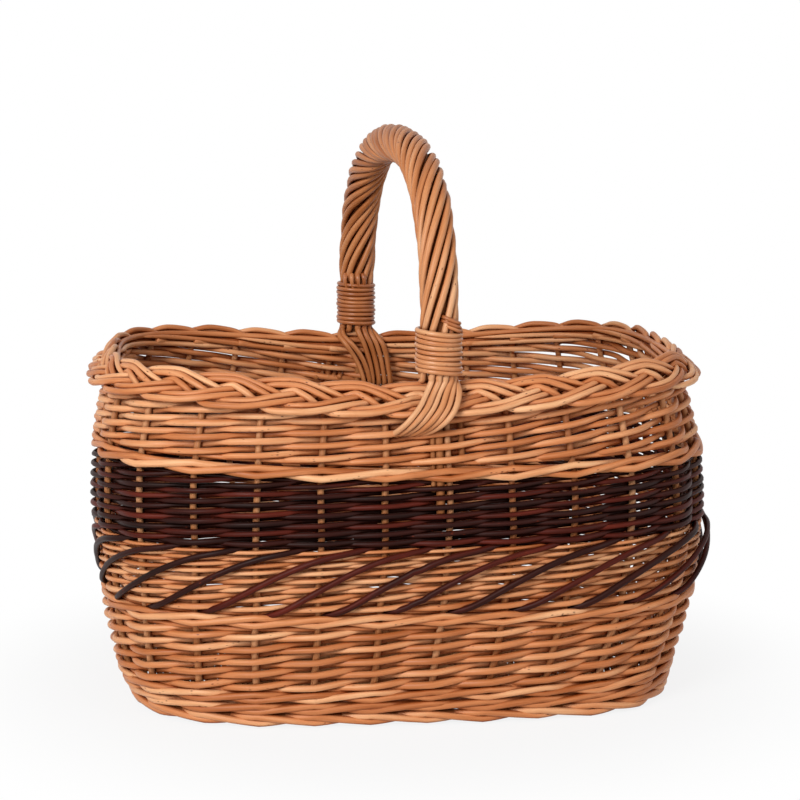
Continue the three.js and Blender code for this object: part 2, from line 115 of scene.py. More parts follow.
def wall_at_angle(angle, height, out):
    """Points of the wall at angles round the plan, at heights and distances out."""
    angle, height, out = np.broadcast_arrays(angle, height, out)
    half_length = outer_half_length(height) - wall_half
    half_width = half_length - length_over_width
    across = signed_power(np.cos(angle), 2 / plan_power)
    along = signed_power(np.sin(angle), 2 / plan_power)
    normal = unit(np.stack([
        signed_power(across, plan_power - 1) / half_length,
        signed_power(along, plan_power - 1) / half_width,
    ], -1))
    share = np.clip(height / rim_height, 0, rise_above_rim_share)
    rise = rim_rise * (1 - (1 - across**2) ** 2) * share**rise_power
    tuck = np.clip((foot_tuck_height - height) / foot_tuck_height, 0, 1)
    right, left = np.clip(across, 0, 1) ** 2, np.clip(-across, 0, 1) ** 2
    from_right = np.interp(height, right_pull_heights, right_pulls)
    from_left = foot_tuck * tuck**foot_tuck_power + np.interp(height, left_pull_heights, left_pulls)
    shift = from_left * left - from_right * right
    corner = np.exp(-((across - corner_across) / corner_width) ** 2) * (along < 0)
    out = out + corner_push * corner * np.clip(1 - height / corner_height, 0, 1)
    return np.stack([
        half_length * across + normal[..., 0] * out + shift,
        half_width * along + normal[..., 1] * out,
        height + rise - np.interp(height, drop_heights, drops) * across,
    ], -1)


plan_angles = np.linspace(-np.pi / 2, 3 * np.pi / 2, 2401)
plan_lengths = lengths_along(wall_at_angle(plan_angles, belly_height, 0))
girth = plan_lengths[-1]
stake_spacing = girth / stake_count


def angle_at_share(share):
    """Angle round the plan at a share of the way round from the middle of the front. The
    stakes stand a little further apart in the front than in the back."""
    spread = share + stake_spread_share * np.sin(2 * np.pi * share) / stake_count
    return np.interp((spread % 1) * girth, plan_lengths, plan_angles)


def angle_of(stake):
    """Angle round the plan of a stake's number, which may lie between two stakes."""
    return angle_at_share((stake + 0.5) / stake_count)


def wall_point(stake, height, out):
    """A point of the wall beside a stake. Below the belly the stakes lean back to the left."""
    drop = (belly_height - height) / (belly_height - lean_foot_height)
    lean = lean_share * np.clip(drop, 0, lean_below_foot_share) ** lean_power
    return wall_at_angle(angle_of(stake - lean), height, out)


def own_thickness(spread):
    """How thick one rod is against the others, about 1."""
    return 1 + spread * (hand.random() - 0.5)


def lay_rod(rods, points, radii, hint, tone=None):
    """Adds one rod to a piece: its line, its radius along it and a direction square to it.
    Its tone, from 0 for dark to 1 for pale, may change along it."""
    tone = hand.random() if tone is None else tone
    count = len(points)
    rods.append((points, np.broadcast_to(radii, count), np.broadcast_to(hint, points.shape),
                 np.broadcast_to(tone, count)))


end_bevel_share = 0.2
end_size_share = 0.75
pattern_step = 3.7
pattern_steps = 97


def rods_mesh(name, rods, sides):
    """One mesh of round rods with cut ends. It keeps the place on each rod and the rod's tone."""
    turns = 2 * np.pi * np.arange(sides) / sides
    cosines, sines = np.cos(turns)[None], np.sin(turns)[None]
    corners, places, tones, faces = [], [], [], []
    start = 0
    for points, radii, hint, tone in rods:
        direction = unit(np.gradient(points, axis=0))
        first = unit(hint - direction * np.sum(hint * direction, axis=1, keepdims=True))
        second = np.cross(direction, first)
        bevel = end_bevel_share * radii[[0, -1], None] * direction[[0, -1]]
        lines = np.concatenate([points[:1] - bevel[:1], points, points[-1:] + bevel[1:]])
        sizes = np.concatenate([radii[:1] * end_size_share, radii, radii[-1:] * end_size_share])
        first, second = (np.pad(side, ((1, 1), (0, 0)), "edge") for side in (first, second))
        spokes = cosines[..., None] * first[:, None] + sines[..., None] * second[:, None]
        rings = lines[:, None] + spokes * sizes[:, None, None]
        along = lengths_along(lines) + pattern_step * (len(tones) % pattern_steps)
        place = np.stack(np.broadcast_arrays(
            along[:, None], cosines * sizes[:, None], sines * sizes[:, None]), -1)
        corners.append(np.concatenate([rings.reshape(-1, 3), lines[[0, -1]]]))
        places.append(np.concatenate([place.reshape(-1, 3), along[[0, -1], None] * [1, 0, 0]]))
        tones.append(np.append(np.repeat(np.pad(tone, 1, "edge"), sides), tone[[0, -1]]))
        ring = start + np.arange(len(lines) - 1)[:, None] * sides
        side = np.arange(sides)
        after = (side + 1) % sides
        quads = np.stack([ring + side, ring + after, ring + sides + after, ring + sides + side], -1)
        faces += quads.reshape(-1, 4).tolist()
        foot = start + len(lines) * sides
        last = foot - sides
        faces += [[start + (s + 1) % sides, start + s, foot] for s in range(sides)]
        faces += [[last + s, last + (s + 1) % sides, foot + 1] for s in range(sides)]
        start = foot + 2
    mesh = bpy.data.meshes.new(name)
    mesh.from_pydata(np.concatenate(corners).tolist(), [], faces)
    mesh.shade_smooth()
    for label, kind, field, values in (
            ("rod_place", "FLOAT_VECTOR", "vector", places), ("rod_tone", "FLOAT", "value", tones)):
        data = mesh.attributes.new(label, kind, "POINT").data
        data.foreach_set(field, np.concatenate(values).astype(np.float32).ravel())
    return mesh


def add_object(name, data):
    """A new object in the scene."""
    thing = bpy.data.objects.new(name, data)
    bpy.context.scene.collection.objects.link(thing)
    return thing


def rods_piece(name, rods, material, nodes, sides=10):
    """A piece made of rods, which rides on the basket and stands for its CAD nodes."""
    mesh = rods_mesh(name, rods, sides)
    mesh.materials.append(material)
    piece = add_object(name, mesh)
    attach(piece, "root")
    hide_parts(*nodes)


def linear(hex_colour):
    """An sRGB hex colour as linear RGBA."""
    channels = [int(hex_colour[place:place + 2], 16) / 255 for place in (1, 3, 5)]
    return [c / 12.92 if c <= 0.04045 else ((c + 0.055) / 1.055) ** 2.4 for c in channels] + [1]


def add_node(tree, kind, sockets=None, **settings):
    """Adds a node with its settings, and its sockets' values or links. A node given for a
    socket is linked by its first output."""
    node = tree.nodes.new(kind)
    for name, value in settings.items():
        setattr(node, name, value)
    for socket, value in (sockets or {}).items():
        if isinstance(value, bpy.types.Node):
            value = value.outputs[0]
        if isinstance(value, bpy.types.NodeSocket):
            tree.links.new(value, node.inputs[socket])
        else:
            node.inputs[socket].default_value = value
    return node


def emptied_tree(owner):
    """The node tree of a material or a world, with nothing in it."""
    owner.use_nodes = True
    owner.node_tree.nodes.clear()
    return owner.node_tree


def willow(name, deep, body, light, seam_shade, roughness, grain_depth, gloss=0.30, spread=0.20):
    """Willow rod: long grain, cloudy tone, a tone of its own for each rod, small bud scars, and
    painted shade in the seams between the rods: ambient occlusion pulls the colour towards a
    darker seam colour there and takes away the gloss."""
    scar_colour, scar_rarity, scar_patches, scar_depth = "#64240f", 0.66, 0.60, -0.8
    grain_weight, cloud_weight = 0.40, 0.75
    material = bpy.data.materials.new(name)
    tree = emptied_tree(material)
    place = add_node(tree, "ShaderNodeAttribute", attribute_name="rod_place").outputs["Vector"]
    tone = add_node(tree, "ShaderNodeAttribute", attribute_name="rod_tone").outputs["Fac"]

    def scaled(length, width):
        sizes = (1 / length, 1 / width, 1 / width)
        return add_node(tree, "ShaderNodeVectorMath", {0: place, 1: sizes}, operation="MULTIPLY")

    grain = add_node(tree, "ShaderNodeTexNoise", {
        "Vector": scaled(length=0.026, width=0.0005), "Scale": 1.0, "Detail": 3.0}).outputs["Fac"]
    cloud = add_node(tree, "ShaderNodeTexNoise", {
        "Vector": scaled(length=0.040, width=0.005), "Scale": 1.0, "Detail": 2.0}).outputs["Fac"]
    cell = add_node(tree, "ShaderNodeTexVoronoi", {
        "Vector": scaled(length=0.0036, width=0.0015), "Scale": 1.0}, feature="F1")
    near_bud = add_node(tree, "ShaderNodeMapRange", {
        "Value": cell.outputs["Distance"], "From Min": 0.12, "From Max": 0.30,
        "To Min": 1.0, "To Max": 0.0})
    chance = add_node(tree, "ShaderNodeSeparateColor", {"Color": cell.outputs["Color"]})
    rare = add_node(tree, "ShaderNodeMath", {0: chance, 1: scar_rarity}, operation="GREATER_THAN")
    patch = add_node(tree, "ShaderNodeMath", {0: cloud, 1: scar_patches}, operation="GREATER_THAN")
    chosen = add_node(tree, "ShaderNodeMath", {0: rare, 1: patch}, operation="MULTIPLY")
    scars = add_node(tree, "ShaderNodeMath", {0: near_bud, 1: chosen}, operation="MULTIPLY")
    own = add_node(tree, "ShaderNodeMapRange", {"Value": tone, "To Min": -spread, "To Max": spread})
    clouds = add_node(tree, "ShaderNodeMath", {
        0: cloud, 1: cloud_weight, 2: own}, operation="MULTIPLY_ADD")
    depth = add_node(tree, "ShaderNodeMath", {
        0: grain, 1: grain_weight, 2: clouds}, operation="MULTIPLY_ADD")
    ramp = add_node(tree, "ShaderNodeValToRGB", {"Fac": depth})
    stops = ramp.color_ramp.elements
    stops[0].position, stops[1].position = 0.22, 0.92
    stops[0].color, stops[1].color = linear(deep), linear(light)
    stops.new(0.56).color = linear(body)
    # Painted shade: where ambient occlusion finds other rods close by, the colour turns to the seam
    # colour and the gloss drops.
    open_share = add_node(tree, "ShaderNodeAmbientOcclusion", {"Distance": 0.006}, samples=4)
    unshaded_share = add_node(tree, "ShaderNodeMapRange", {
        "Value": open_share.outputs["AO"], "From Min": 0.14, "From Max": 0.74})
    wood = add_node(tree, "ShaderNodeMix", {
        "Factor": unshaded_share, 6: linear(seam_shade), 7: ramp.outputs["Color"]}, data_type="RGBA").outputs[2]
    colour = add_node(tree, "ShaderNodeMix", {
        "Factor": scars, 6: wood, 7: linear(scar_colour)}, data_type="RGBA").outputs[2]
    sheen = add_node(tree, "ShaderNodeMapRange", {
        "Value": grain, "From Min": 0.3, "From Max": 0.7,
        "To Min": roughness - 0.08, "To Max": roughness + 0.10})
    height = add_node(tree, "ShaderNodeMath", {
        0: scars, 1: scar_depth, 2: grain}, operation="MULTIPLY_ADD")
    bump = add_node(tree, "ShaderNodeBump", {
        "Height": height, "Strength": 0.6, "Distance": grain_depth})
    seam_shaded_gloss = add_node(tree, "ShaderNodeMath", {0: unshaded_share, 1: gloss}, operation="MULTIPLY")
    shader = add_node(tree, "ShaderNodeBsdfPrincipled", {
        "Base Color": colour, "Roughness": sheen, "Normal": bump,
        "IOR": 1.5, "Specular IOR Level": seam_shaded_gloss})
    add_node(tree, "ShaderNodeOutputMaterial", {"Surface": shader})
    return material


# Buffed willow of the base: boiled with its bark on and then peeled, which turns the wood
# tan, and left rough, so that it has hardly any gloss.
# The fourth colour is the painted shade in the seams between the rods.
base_willow = willow("buffed_willow_dull", "#74401e", "#a2663a", "#be885a", "#5c2508",
                     roughness=0.62, grain_depth=0.00022, gloss=0.2)

base_spoke_count = 32
base_row_count = 8
base_row_rods = 5
base_weaver_count = 37
base_middle = 0.0040
base_lift = 0.0014
base_spoke_radius = 0.0009
base_weaver_radii = (0.0015, 0.0022)
base_wall_gap = 0.0012
base_eye_share = 0.03
up = np.array([0.0, 0.0, 1.0])


def base_point(spoke, share, height):
    """A point of the base at a spoke's number, at a share of the way out to the wall."""
    angle = angle_at_share(spoke / base_spoke_count)
    edge = wall_at_angle(angle, height, -wall_half - base_wall_gap)
    return edge * np.stack(np.broadcast_arrays(share, share, 1), -1)


base_rods = []
share = np.linspace(base_eye_share, 1, 20)
for spoke in range(base_spoke_count):
    lay_rod(base_rods, base_point(spoke, share, base_middle), base_spoke_radius, up)
outermost = base_row_count - 0.5
for weaver in range(base_weaver_count):
    place = outermost - (weaver + 0.5) / base_row_rods
    first = hand.integers(base_spoke_count)
    spoke = first + np.arange(base_spoke_count * 8 + 3) / 8
    lift = base_lift * np.cos(np.pi * (spoke + int(place) + 1))
    towards_end = np.abs(np.cos(angle_at_share(spoke / base_spoke_count)))
    radius = np.interp(towards_end, [0, 1], base_weaver_radii)
    lay_rod(base_rods, base_point(spoke, place / outermost, base_middle + lift), radius, up)
rods_piece("base_rods", base_rods, base_willow, ["base_weave"], sides=7)


# The base sticks. Three long sticks and seven cross sticks of thick buffed rod lie on the
# base weave and are bound down by it. None of them is quite straight.

base_stick_radius = 0.0026
base_stick_height = 0.0100
long_stick_reach = 0.166
long_stick_gap = 0.034
long_stick_bow = 0.0006
long_stick_tip, cross_stick_tip = 0.88, 0.9
cross_stick_count = 7
cross_stick_reach = 0.108
cross_stick_share = 0.78
cross_stick_bow = 0.0008

base_sticks = []
for y in (-long_stick_gap, 0, long_stick_gap):
    x = np.linspace(-long_stick_reach, long_stick_reach, 30)
    bow = long_stick_bow * np.sin(x * 21 + 90 * y)
    line = np.stack([x, y + bow, np.full(30, base_stick_height)], -1)
    lay_rod(base_sticks, line, base_stick_radius * np.linspace(1, long_stick_tip, 30), up)
for share in np.linspace(-cross_stick_share, cross_stick_share, cross_stick_count):
    reach = cross_stick_reach * (1 - abs(share) ** plan_power) ** (1 / plan_power)
    y = np.linspace(-reach, reach, 24)
    bow = cross_stick_bow * np.sin(y * 30 + 9 * share)
    line = np.stack([share * long_stick_reach + bow, y, np.full(24, base_stick_height)], -1)
    lay_rod(base_sticks, line, base_stick_radius * np.linspace(cross_stick_tip, 1, 24), up)
rods_piece("laid_sticks", base_sticks, base_willow, ["base_sticks"], sides=10)


# The stakes. Upright willow rods set in the foot about 40 mm apart, round which the whole
# wall is woven. They are peeled and buffed, and are the palest rods of the basket.

stake_radius = 0.00225
stake_foot = 0.0032
stake_head = 0.2085
stake_sway = 0.0004
stake_sway_length = 0.07
stake_foot_share = 1.06
stake_taper_share = 0.12

# Peeled stake: smooth buffed wood with a satin skin, a shade paler than the weavers.
# The fourth colour is the painted shade in the seams between the rods.
stake_willow = willow("buffed_willow_stake", "#95582f", "#c08252", "#dba67a", "#6c2c0a",
                      roughness=0.50, grain_depth=0.00012)

stakes = []
for stake in range(stake_count):
    height = np.linspace(stake_foot, stake_head, 40)
    sway = stake_sway * np.sin(2 * np.pi * (height / stake_sway_length + hand.random()))
    line = wall_point(stake + sway / stake_spacing, height, 0)
    radius = stake_radius * (stake_foot_share - stake_taper_share * height / rim_height)
    lay_rod(stakes, line, radius, line * [1, 1, 0])
rods_piece("wall_stakes", stakes, stake_willow,
           [f"stake_{number:02d}" for number in range(1, stake_count + 1)], sides=12)


# The upsett. Three rounds of three-rod wale stand on the floor and lock the stakes in the
# foot. The lowest round is worked the other way, so its strokes slant down to the right. Two
# duller rods laid round between the stakes fill the foot behind it.

line_steps = 9
wale_rod_count = 3
wale_cuts = [0, 9, 18, 24, 33]
wale_levels = [0.15, -1, 1]
wale_sides = [-1, 1, 1]
wale_spread = 0.10
wale_taper = (1.06, 0.92)
wale_unevenness = 0.0003
wale_closeness = 0.96
upsett_radius = 0.00245

# The rods behind the foot: where they start, in stakes, their height, distance out and radius.
foot_rods = [(0, 0.0040, -0.0022, 0.0026), (0.5, 0.0068, 0.0002, 0.0022)]


def woven_line(stake, height, out, kink):
    """The line of a rod past stakes, with its height and its distance out at each one. With
    more kink, more of a rise comes early on the way to the next stake."""
    share = np.arange(line_steps) / line_steps
    ease = (1 - np.cos(np.pi * share)) / 2
    lift = share + kink * share * (1 - share)
    stakes_between = (stake[:-1, None] + np.diff(stake)[:, None] * share).ravel()
    heights = (height[:-1, None] + np.diff(height)[:, None] * lift).ravel()
    outs = (out[:-1, None] + np.diff(out)[:, None] * ease).ravel()
    return wall_point(np.append(stakes_between, stake[-1]),
                      np.append(heights, height[-1]), np.append(outs, out[-1]))


def wale(rods, middle, lift, radius, start, slant):
    """One round of three-rod wale: each rod passes outside two stakes and inside one.
    Each rod is pieced from four lengths, whose ends stay behind a stake."""
    for rod in range(wale_rod_count):
        for cut, next_cut in zip(wale_cuts[:-1], wale_cuts[1:]):
            places = np.arange(cut, next_cut + 1)
            phase = places % wale_rod_count
            level = np.choose(phase, wale_levels) * lift * slant
            thick = radius * own_thickness(wale_spread)
            height = middle + level + hand.normal(0, wale_unevenness, len(places))
            out = np.choose(phase, wale_sides) * (stake_radius + thick) * wale_closeness
            taper = np.linspace(*wale_taper, (len(places) - 1) * line_steps + 1)
            line = woven_line(start + rod + places, height, out, kink=0.15)
            lay_rod(rods, line, thick * taper, up)


# Buffed willow of the wall: boiled in its bark and peeled, golden tan to orange brown,
# with long grain, cloudy tone, dark bud scars and a satin skin that takes broad highlights.
# The fourth colour is the painted shade in the seams between the rods.
wall_willow = willow("buffed_willow", "#a05626", "#cc8250", "#ebb484", "#7c2a02",
                     roughness=0.46, grain_depth=0.00014)

upsett = []
wale(upsett, middle=0.0056, lift=0.0022, radius=upsett_radius, start=14, slant=-1)
wale(upsett, middle=0.0133, lift=0.0021, radius=upsett_radius * 0.94, start=17, slant=1)
wale(upsett, middle=0.0213, lift=0.0022, radius=upsett_radius * 0.9, start=15, slant=1)
foot_core = []
all_round = np.arange(stake_count * 4 + 1) / 4
for start, height, out, radius in foot_rods:
    lay_rod(foot_core, wall_point(all_round + start, height, out), radius, up)
rods_piece("foot_core", foot_core, base_willow, ["foot_ring"], sides=8)
rods_piece("upsett_rods", upsett, wall_willow, ["upsett_wale"])


# The lower siding. One thick buffed rod starts behind every stake, and all of them climb
# together in French rand: outside one stake, inside the next, flat before a stake and
# rising after it.

rand_spread = 0.16
rand_wobble = 0.03
settle_edges = [-0.15, 0.20]
joint_out, joint_tone = -0.0004, 0.3
lower_bars = [0.0288, 0.0375, 0.0462, 0.0548, 0.0634]


def settled(stake, front, back):
    """How far a rod sinks where it passes inside a stake, in the front and in the back."""
    facing = np.cos(2 * np.pi * (stake + 0.5) / stake_count)
    return np.interp(facing, settle_edges, [back, front])


def bar_heights(bars, below, above):
    """Heights of a rod that is outside the stakes at its bars and inside them halfway between.
    below and above give the steps to the bars before the first one and after the last."""
    bars = [bars[0] - below, *bars, bars[-1] + above]
    return np.interp(np.arange(2 * len(bars) - 3), 2 * np.arange(len(bars)) - 1, bars)


def french_rand(rods, bars, butt, tip, settle, kink, unevenness):
    """Rods of French rand. bars are the heights at which each rod passes outside a stake;
    inside the next one it settles, by as much as settle gives for the front and the back."""
    height = bar_heights(bars, bars[1] - bars[0], bars[-1] - bars[-2])
    places = np.arange(len(height))
    side = np.where(places % 2, 1, -1)
    bar_shift = hand.normal(0, unevenness, (stake_count, len(height)))
    for stake in range(stake_count):
        thick = own_thickness(rand_spread)
        radius = np.linspace(butt, tip, len(height)) * thick
        shift = bar_shift[(stake + places) % stake_count, places]
        shift = shift - np.where(side < 0, settled(stake + places, *settle), 0)
        line = woven_line(stake + places, height + shift, side * (stake_radius + radius), kink)
        taper = np.linspace(butt, tip, len(line)) * thick
        wobble = 1 + rand_wobble * np.sin(np.linspace(0, 30, len(line)) + phase_span * hand.random())
        lay_rod(rods, line, taper * wobble, up)


def close_joint(rods, height, radius):
    """Thin rod tips that run on round the stakes and close the joint between two weaves."""
    lay_rod(rods, wall_point(all_round, height, joint_out), radius, up, joint_tone)


lower_siding = []
close_joint(lower_siding, 0.0254, 0.0017)
close_joint(lower_siding, 0.0682, 0.0018)
french_rand(lower_siding, lower_bars, butt=0.00232, tip=0.00218, settle=(0.0013, -0.0014),
            kink=0.75, unevenness=0.0003)
rods_piece("lower_siding_rods", lower_siding, wall_willow, ["lower_siding"])


# The middle wale. One round of three-rod wale closes the lower siding.

middle_wale = []
wale(middle_wale, middle=0.0740, lift=0.0025, radius=0.00225, start=16, slant=1)
rods_piece("middle_wale_rods", middle_wale, wall_willow, ["middle_wale"])


# The fine siding. French rand of thinner buffed rods, whose tips make the rows closer and
# closer towards the top.

fine_bars = [0.0825, 0.08925, 0.0955, 0.10125, 0.1065, 0.1113, 0.11575, 0.11995]
fine_siding = []
close_joint(fine_siding, 0.0789, 0.0017)
french_rand(fine_siding, fine_bars, butt=0.00188, tip=0.00122, settle=(0.0011, -0.0012),
            kink=0.55, unevenness=0.00025)
rods_piece("fine_siding_rods", fine_siding, wall_willow, ["fine_siding"])


# The dark band. An unpeeled rod starts beside every stake on the middle wale, slants up
# outside the fine siding past two stakes, and is then woven with the others in French rand.

dark_bars = [0.1252, 0.1315, 0.1373, 0.1430, 0.1490, 0.1550, 0.1608]
dark_settle = (0.0013, -0.0013)
dark_unevenness = 0.00025
dark_butt, dark_tip = 0.00208, 0.00158
dark_start_share = 0.8
dark_below, dark_above = 0.0044, 0.0058

# The slanting stretch: stakes passed, share of the climb and distance out, and how much
# further out it stands at the right and at the left end.
slant_start_height = 0.0770
slant_start_unevenness = 0.0008
slant_wander = 0.03
slant_stakes = 3
slant_places = np.array([0.06, 0.45, 1.0, 1.5, 2.0, 2.45, 3.0])
slant_rises = np.array([0.0, 0.13, 0.42, 0.66, 0.84, 0.93, 1.0])
slant_outs = np.array([0.0002, 0.0056, 0.0072, 0.0072, 0.0068, 0.0050, -0.0036])
slant_off_right = np.array([0, 0.0006, 0.0022, 0.0030, 0.0026, 0.0012, 0])
slant_off_left = np.array([0, -0.0004, -0.0012, -0.0012, -0.0012, -0.0006, 0])


def smooth_line(values, steps):
    """A smooth run through values, one for each row, by Catmull-Rom pieces."""
    padded = np.concatenate([2 * values[:1] - values[1:2], values, 2 * values[-1:] - values[-2:-1]])
    share = (np.arange(steps) / steps)[:, None]
    runs = []
    for a, b, c, d in zip(padded[:-3], padded[1:-2], padded[2:-1], padded[3:]):
        runs.append(0.5 * (2 * b + (c - a) * share + (2 * a - 5 * b + 4 * c - d) * share**2
                           + (3 * b - a - 3 * c + d) * share**3))
    return np.concatenate([*runs, values[-1:]])


# Unpeeled willow: the bark is left on, red brown to nearly black, smoother than the peeled
# rods, with a greyish satin sheen.
# The fourth colour is the painted shade in the seams between the rods.
dark_willow = willow("unpeeled_brown_willow", "#160502", "#2e0b04", "#5a1c0f", "#080200",
                     roughness=0.46, grain_depth=0.00018, gloss=0.12)

dark_siding = []
close_joint(dark_siding, 0.1226, 0.0015)
close_joint(dark_siding, 0.1638, 0.0015)
for stake in range(stake_count):
    thick = own_thickness(rand_spread)
    height = bar_heights(dark_bars, dark_below, dark_above)
    start = slant_start_height + hand.normal(0, slant_start_unevenness)
    facing_right = np.cos(angle_of(stake + slant_places))
    off_right = slant_off_right * np.clip(facing_right, 0, 1)
    off_left = slant_off_left * np.clip(-facing_right, 0, 1)
    wander = hand.normal(0, slant_wander) * np.sin(np.pi * slant_rises)
    slant = smooth_line(np.stack([
        stake + slant_places + wander,
        start + (height[0] - start) * slant_rises,
        slant_outs + (off_right + off_left),
    ], -1), 8)
    places = slant_stakes + np.arange(len(height))
    height[2:-1:2] -= settled(stake + places[2:-1:2], *dark_settle)
    height[1:] += hand.normal(0, dark_unevenness, len(places) - 1)
    side = np.where(np.arange(len(places)) % 2, 1, -1)
    radius = np.interp(places, [0, places[-1]], [dark_butt, dark_tip]) * thick
    weave = woven_line(stake + places, height, side * (stake_radius + radius), kink=0.5)
    line = np.concatenate([wall_point(*slant[:-1].T), weave])
    taper = np.interp(np.arange(len(line)), [0, 5, len(line) - 1],
                      [dark_butt * dark_start_share, dark_butt, dark_tip])
    lay_rod(dark_siding, line, taper * thick, up)
rods_piece("dark_band_rods", dark_siding, dark_willow, ["dark_siding"])


# The upper wale. One round of three-rod wale divides the dark band from the upper siding.

upper_wale = []
wale(upper_wale, middle=0.1690, lift=0.0026, radius=0.0023, start=15, slant=1)
rods_piece("upper_wale_rods", upper_wale, wall_willow, ["upper_wale"])


# The upper siding. Rounds of French rand in buffed rods, up to the rim: four of them show in
# front, and a fifth lies under the border, with long rods that fill the wall inside it.

upper_bars = [0.1786, 0.1867, 0.1946, 0.2021, 0.2094]
strand_count = 12
strand_radius = 0.0019
strand_height = 0.2106
strand_spread = 0.10
strand_wander = 0.1
strand_taper = [0.5, 1.05, 0.85, 0.4]

upper_siding = []
close_joint(upper_siding, 0.1757, 0.0018)
french_rand(upper_siding, upper_bars, butt=0.00218, tip=0.00210, settle=(0.0015, -0.0008),
            kink=0.45, unevenness=0.0003)
strand_places = np.array([0, 0.5, 1, 2, 3, 4, 4.5, 5])
strand_rises = np.array([0, 0.0004, 0.0008, 0.0020, 0.0036, 0.0052, 0.0060, 0.0066])
strand_outs = np.array([0, -0.9, -1, -1, -1, -1, -0.9, 0])
for strand in range(strand_count):
    thick = strand_radius * own_thickness(strand_spread)
    first = strand * stake_count / strand_count + hand.normal(0, strand_wander)
    strand_line = smooth_line(np.stack([
        first + strand_places, strand_height + strand_rises,
        strand_outs * (stake_radius + thick)], -1), 8)
    taper = np.interp(
        np.arange(len(strand_line)), [0, 10, 44, len(strand_line) - 1], strand_taper)
    lay_rod(upper_siding, wall_point(*strand_line.T), thick * taper, up)
rods_piece("upper_siding_rods", upper_siding, wall_willow, ["upper_siding"])


# The border. Each stake is bent down at the rim and plaited with its neighbours into a flat
# plait that leans out over the wall. Four rods show side by side in it: two sweep along the
# outer edge and two come back over the inner edge.

border_half_width = 0.0135
border_out = 0.0045
border_above_rim = 0.0105
border_tilt = np.pi / 4
border_rod_radius = 0.0021
border_rod_spread = 0.10
border_rod_taper = (1.05, 0.92)
border_rod_wander = 0.015
border_rod_shift = 0.012
border_bend_foot, border_bend_head = 0.2035, 0.2100

# The run of one bent-down stake: stakes passed, share across the plait from its inner edge
# to its outer one, and height over the plait's middle in rod radii.
border_run = np.array([
    [0.00, 0.40, -3.2], [0.10, 0.38, -2.2], [0.28, 0.34, -1.0], [0.46, 0.30, 0.2],
    [0.53, 0.30, 0.5], [0.62, 0.38, 0.6], [0.76, 0.52, 0.3], [0.90, 0.68, -0.8],
    [1.06, 0.88, -0.9], [1.22, 1.00, 0.1], [1.45, 1.04, 0.9], [1.75, 1.01, 1.1],
    [2.10, 0.86, 1.1], [2.40, 0.70, 0.7], [2.66, 0.52, -0.5], [2.86, 0.34, -1.0],
    [3.04, 0.20, -0.4], [3.22, 0.16, 0.6], [3.48, 0.155, 1.1], [3.68, 0.20, 1.2],
    [3.90, 0.37, 1.1], [4.12, 0.55, 0.2], [4.28, 0.70, -0.8], [4.44, 0.80, -0.1],
    [4.62, 0.84, 0.9], [4.90, 0.79, 1.2], [5.18, 0.63, 1.1], [5.44, 0.46, 0.4],
    [5.66, 0.28, -0.8], [5.86, 0.10, -0.7], [6.06, 0.03, 0.3], [6.40, 0.00, 1.0],
    [6.64, 0.02, 1.2], [6.86, 0.14, 1.1], [7.10, 0.29, 0.8], [7.34, 0.44, -0.3],
    [7.52, 0.58, -1.0],
])


def border_point(stake, across, above):
    """A point of the border: across from its inner to its outer edge, and above its middle."""
    reach = border_half_width - border_rod_radius
    wide = -reach + 2 * reach * across
    out = border_out + wide * np.cos(border_tilt) + above * np.sin(border_tilt)
    lift = border_above_rim - wide * np.sin(border_tilt) + above * np.cos(border_tilt)
    return wall_point(stake, rim_height, out) + up * lift[:, None]


border = []
run = smooth_line(border_run, 6)
for stake in range(stake_count):
    shift = hand.normal(0, border_rod_shift, 3)[0]
    phase = phase_span * hand.random()
    wander = np.sin(np.linspace(0, 9, len(run)) + phase) * border_rod_wander
    thick = border_rod_radius * own_thickness(border_rod_spread)
    line = border_point(run[:, 0] + stake + shift, run[:, 1] + wander, run[:, 2] * border_rod_radius)
    bend = wall_point(stake, np.linspace(border_bend_foot, border_bend_head, 5)[:-1], 0)
    line = np.concatenate([bend, line])
    lay_rod(border, line, thick * np.linspace(*border_rod_taper, len(line)), [0.3, 0.2, 1.0])

# Three rods laid all the way round fill the hollow under the plait: share across the plait
# and height in rod radii.
filling_tone = 0.2
for across, above in ((0.07, -1.3), (0.30, -1.9), (0.66, -1.7)):
    filling = border_point(all_round, across, np.full(len(all_round), above * border_rod_radius))
    lay_rod(border, filling, border_rod_radius, up, filling_tone)

# Cut ends that stand out of the plait, outwards on the left end and up at the back of the
# right end: stake, and share across the plait and height in rod radii at both ends.
cut_ends = [
    [-9.62, 0.75, 0.6, 1.13, 0.2],
    [-8.95, 0.65, 0.9, 1.24, -0.1],
    [-8.35, 0.62, 1.0, 1.14, -0.4],
    [-7.80, 0.60, 1.0, 1.05, -0.6],
    [-7.25, 0.60, 1.0, 1.00, -0.9],
    [7.75, 0.62, 0.4, 0.95, 2.3],
    [8.05, 0.62, 0.4, 0.93, 2.5],
    [8.45, 0.62, 0.4, 0.92, 2.6],
    [8.80, 0.62, 0.4, 0.92, 2.4],
    [9.20, 0.62, 0.4, 0.90, 2.5],
]
cut_end_radius = 0.0018
cut_end_spread = 0.12
for stake, start, low, end, high in cut_ends:
    across = np.linspace(start, end, 7)
    above = np.linspace(low, high, 7) * border_rod_radius
    line = border_point(stake + np.linspace(0.10, -0.06, 7), across, above)
    lay_rod(border, line, cut_end_radius * (1 + cut_end_spread * hand.normal()), up)
rods_piece("border_plait", border, wall_willow, ["border"])


# The bow of the handle. A thick willow rod stands in the wall beside a stake on each side
# and carries the handle, with two thin rods beside it. It shows in the wall, and in the gaps
# of the rods wound round it.

